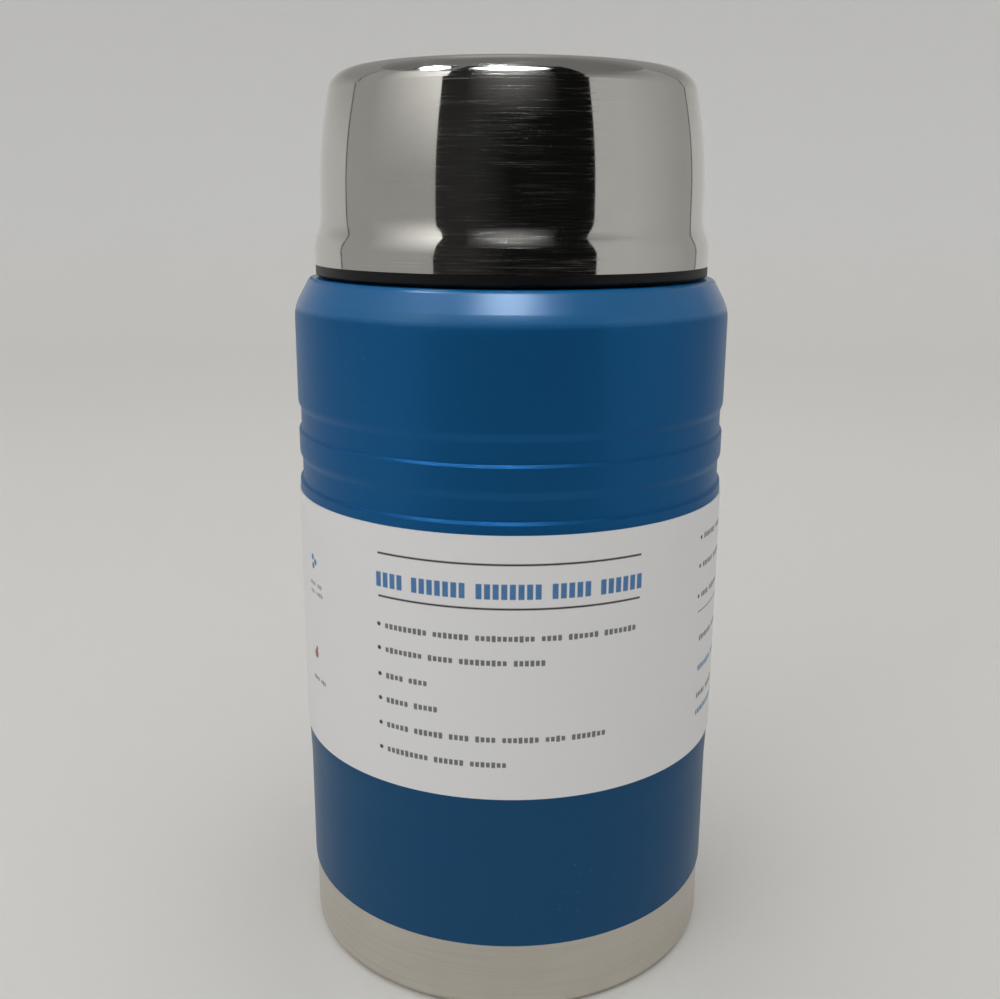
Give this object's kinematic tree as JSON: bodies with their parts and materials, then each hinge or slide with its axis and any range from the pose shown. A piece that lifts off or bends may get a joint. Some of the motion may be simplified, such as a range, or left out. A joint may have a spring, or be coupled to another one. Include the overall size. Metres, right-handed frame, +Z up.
{
  "type": "insulated food jar",
  "caption": "Insulated food jar: double-wall steel vessel with rolled grooves, screw-in vented lid, screw-on steel cup cap and a folding spoon under it.",
  "frame": {"origin": "centre of the ring that the jar stands on, on the jar's axis", "axes": "+Z up along the jar's axis; +X from the folded spoon's hinge towards its tip; -Y is the printed front of the label"},
  "size_m": [0.1008, 0.1008, 0.2047],
  "materials": {
    "blue_coat": "satin",
    "bare_steel": "satin",
    "polished_steel": "polished",
    "liner_steel": "satin",
    "spoon_steel": "polished",
    "spring_steel": "satin",
    "copper": "satin",
    "braze": "matte",
    "getter_alloy": "matte",
    "label_paper": "satin",
    "dark_plastic": "satin",
    "button_plastic": "satin",
    "silicone": "matte",
    "foam": "matte"
  },
  "bodies": {
    "vessel": {"outer_shell": "blue_coat", "base_cup": "bare_steel", "base_cover": "bare_steel", "vacuum_seal": "braze", "getter_clip": "spring_steel", "getter": "getter_alloy", "inner_liner": "liner_steel", "copper_layer": "copper", "label_band": "label_paper"},
    "gasket": {"lid_gasket": "silicone"},
    "foam": {"plug_foam": "foam"},
    "lid": {"lid_body": "dark_plastic", "plug_cup": "dark_plastic", "vent_spring": "spring_steel"},
    "vent": {"vent_button": "button_plastic", "vent_stem": "spring_steel", "vent_poppet": "silicone"},
    "spoon": {"spoon_bowl": "spoon_steel", "spoon_pin": "spring_steel"},
    "handle": {"spoon_handle": "spoon_steel"},
    "spacer": {"cap_spacer": "foam"},
    "cap_foam": {"cap_insulation": "foam"},
    "cap": {"cap_shell": "polished_steel", "cap_liner": "dark_plastic"}
  },
  "joints": [
    {"name": "lid_lift", "type": "slide", "parent": "vessel", "child": "gasket", "axis": [0, 0, 1], "range_m": [0, 0.1]},
    {"name": "lid_rise", "type": "slide", "parent": "gasket", "child": "foam", "axis": [0, 0, 1], "range_m": [0, 0.0081]},
    {"name": "lid_turn", "type": "hinge", "parent": "foam", "child": "lid", "pos_m": [0, 0, 0.17], "axis": [0, 0, 1], "range_deg": [0, 240]},
    {"name": "vent_push", "type": "slide", "parent": "lid", "child": "vent", "axis": [0, 0, -1], "range_m": [0, 0.0015], "stiffness_N_per_m": 250, "springref_m": -0.004, "deforming": ["vent_spring"]},
    {"name": "spoon_lift", "type": "slide", "parent": "lid", "child": "spoon", "axis": [0, 0, 1], "range_m": [0, 0.0201]},
    {"name": "spoon_unfold", "type": "hinge", "parent": "spoon", "child": "handle", "pos_m": [-0.0295, 0, 0.1878], "axis": [0, -1, 0], "range_deg": [0, 180]},
    {"name": "cap_lift", "type": "slide", "parent": "lid", "child": "spacer", "axis": [0, 0, 1], "range_m": [0, 0.2]},
    {"name": "cap_rise", "type": "slide", "parent": "spacer", "child": "cap_foam", "axis": [0, 0, 1], "range_m": [0, 0.0081]},
    {"name": "cap_turn", "type": "hinge", "parent": "cap_foam", "child": "cap", "pos_m": [0, 0, 0.17], "axis": [0, 0, 1], "range_deg": [0, 240]}
  ],
  "couplings": [
    {"joint": "lid_rise", "follows": "lid_turn", "m_per_rad": 0.0019099},
    {"joint": "cap_rise", "follows": "cap_turn", "m_per_rad": 0.0019099},
    {"joint": "spoon_lift", "follows": "cap_lift", "ratio": 0.1},
    {"joint": "spoon_unfold", "follows": "cap_lift", "rad_per_m": 15.708}
  ]
}
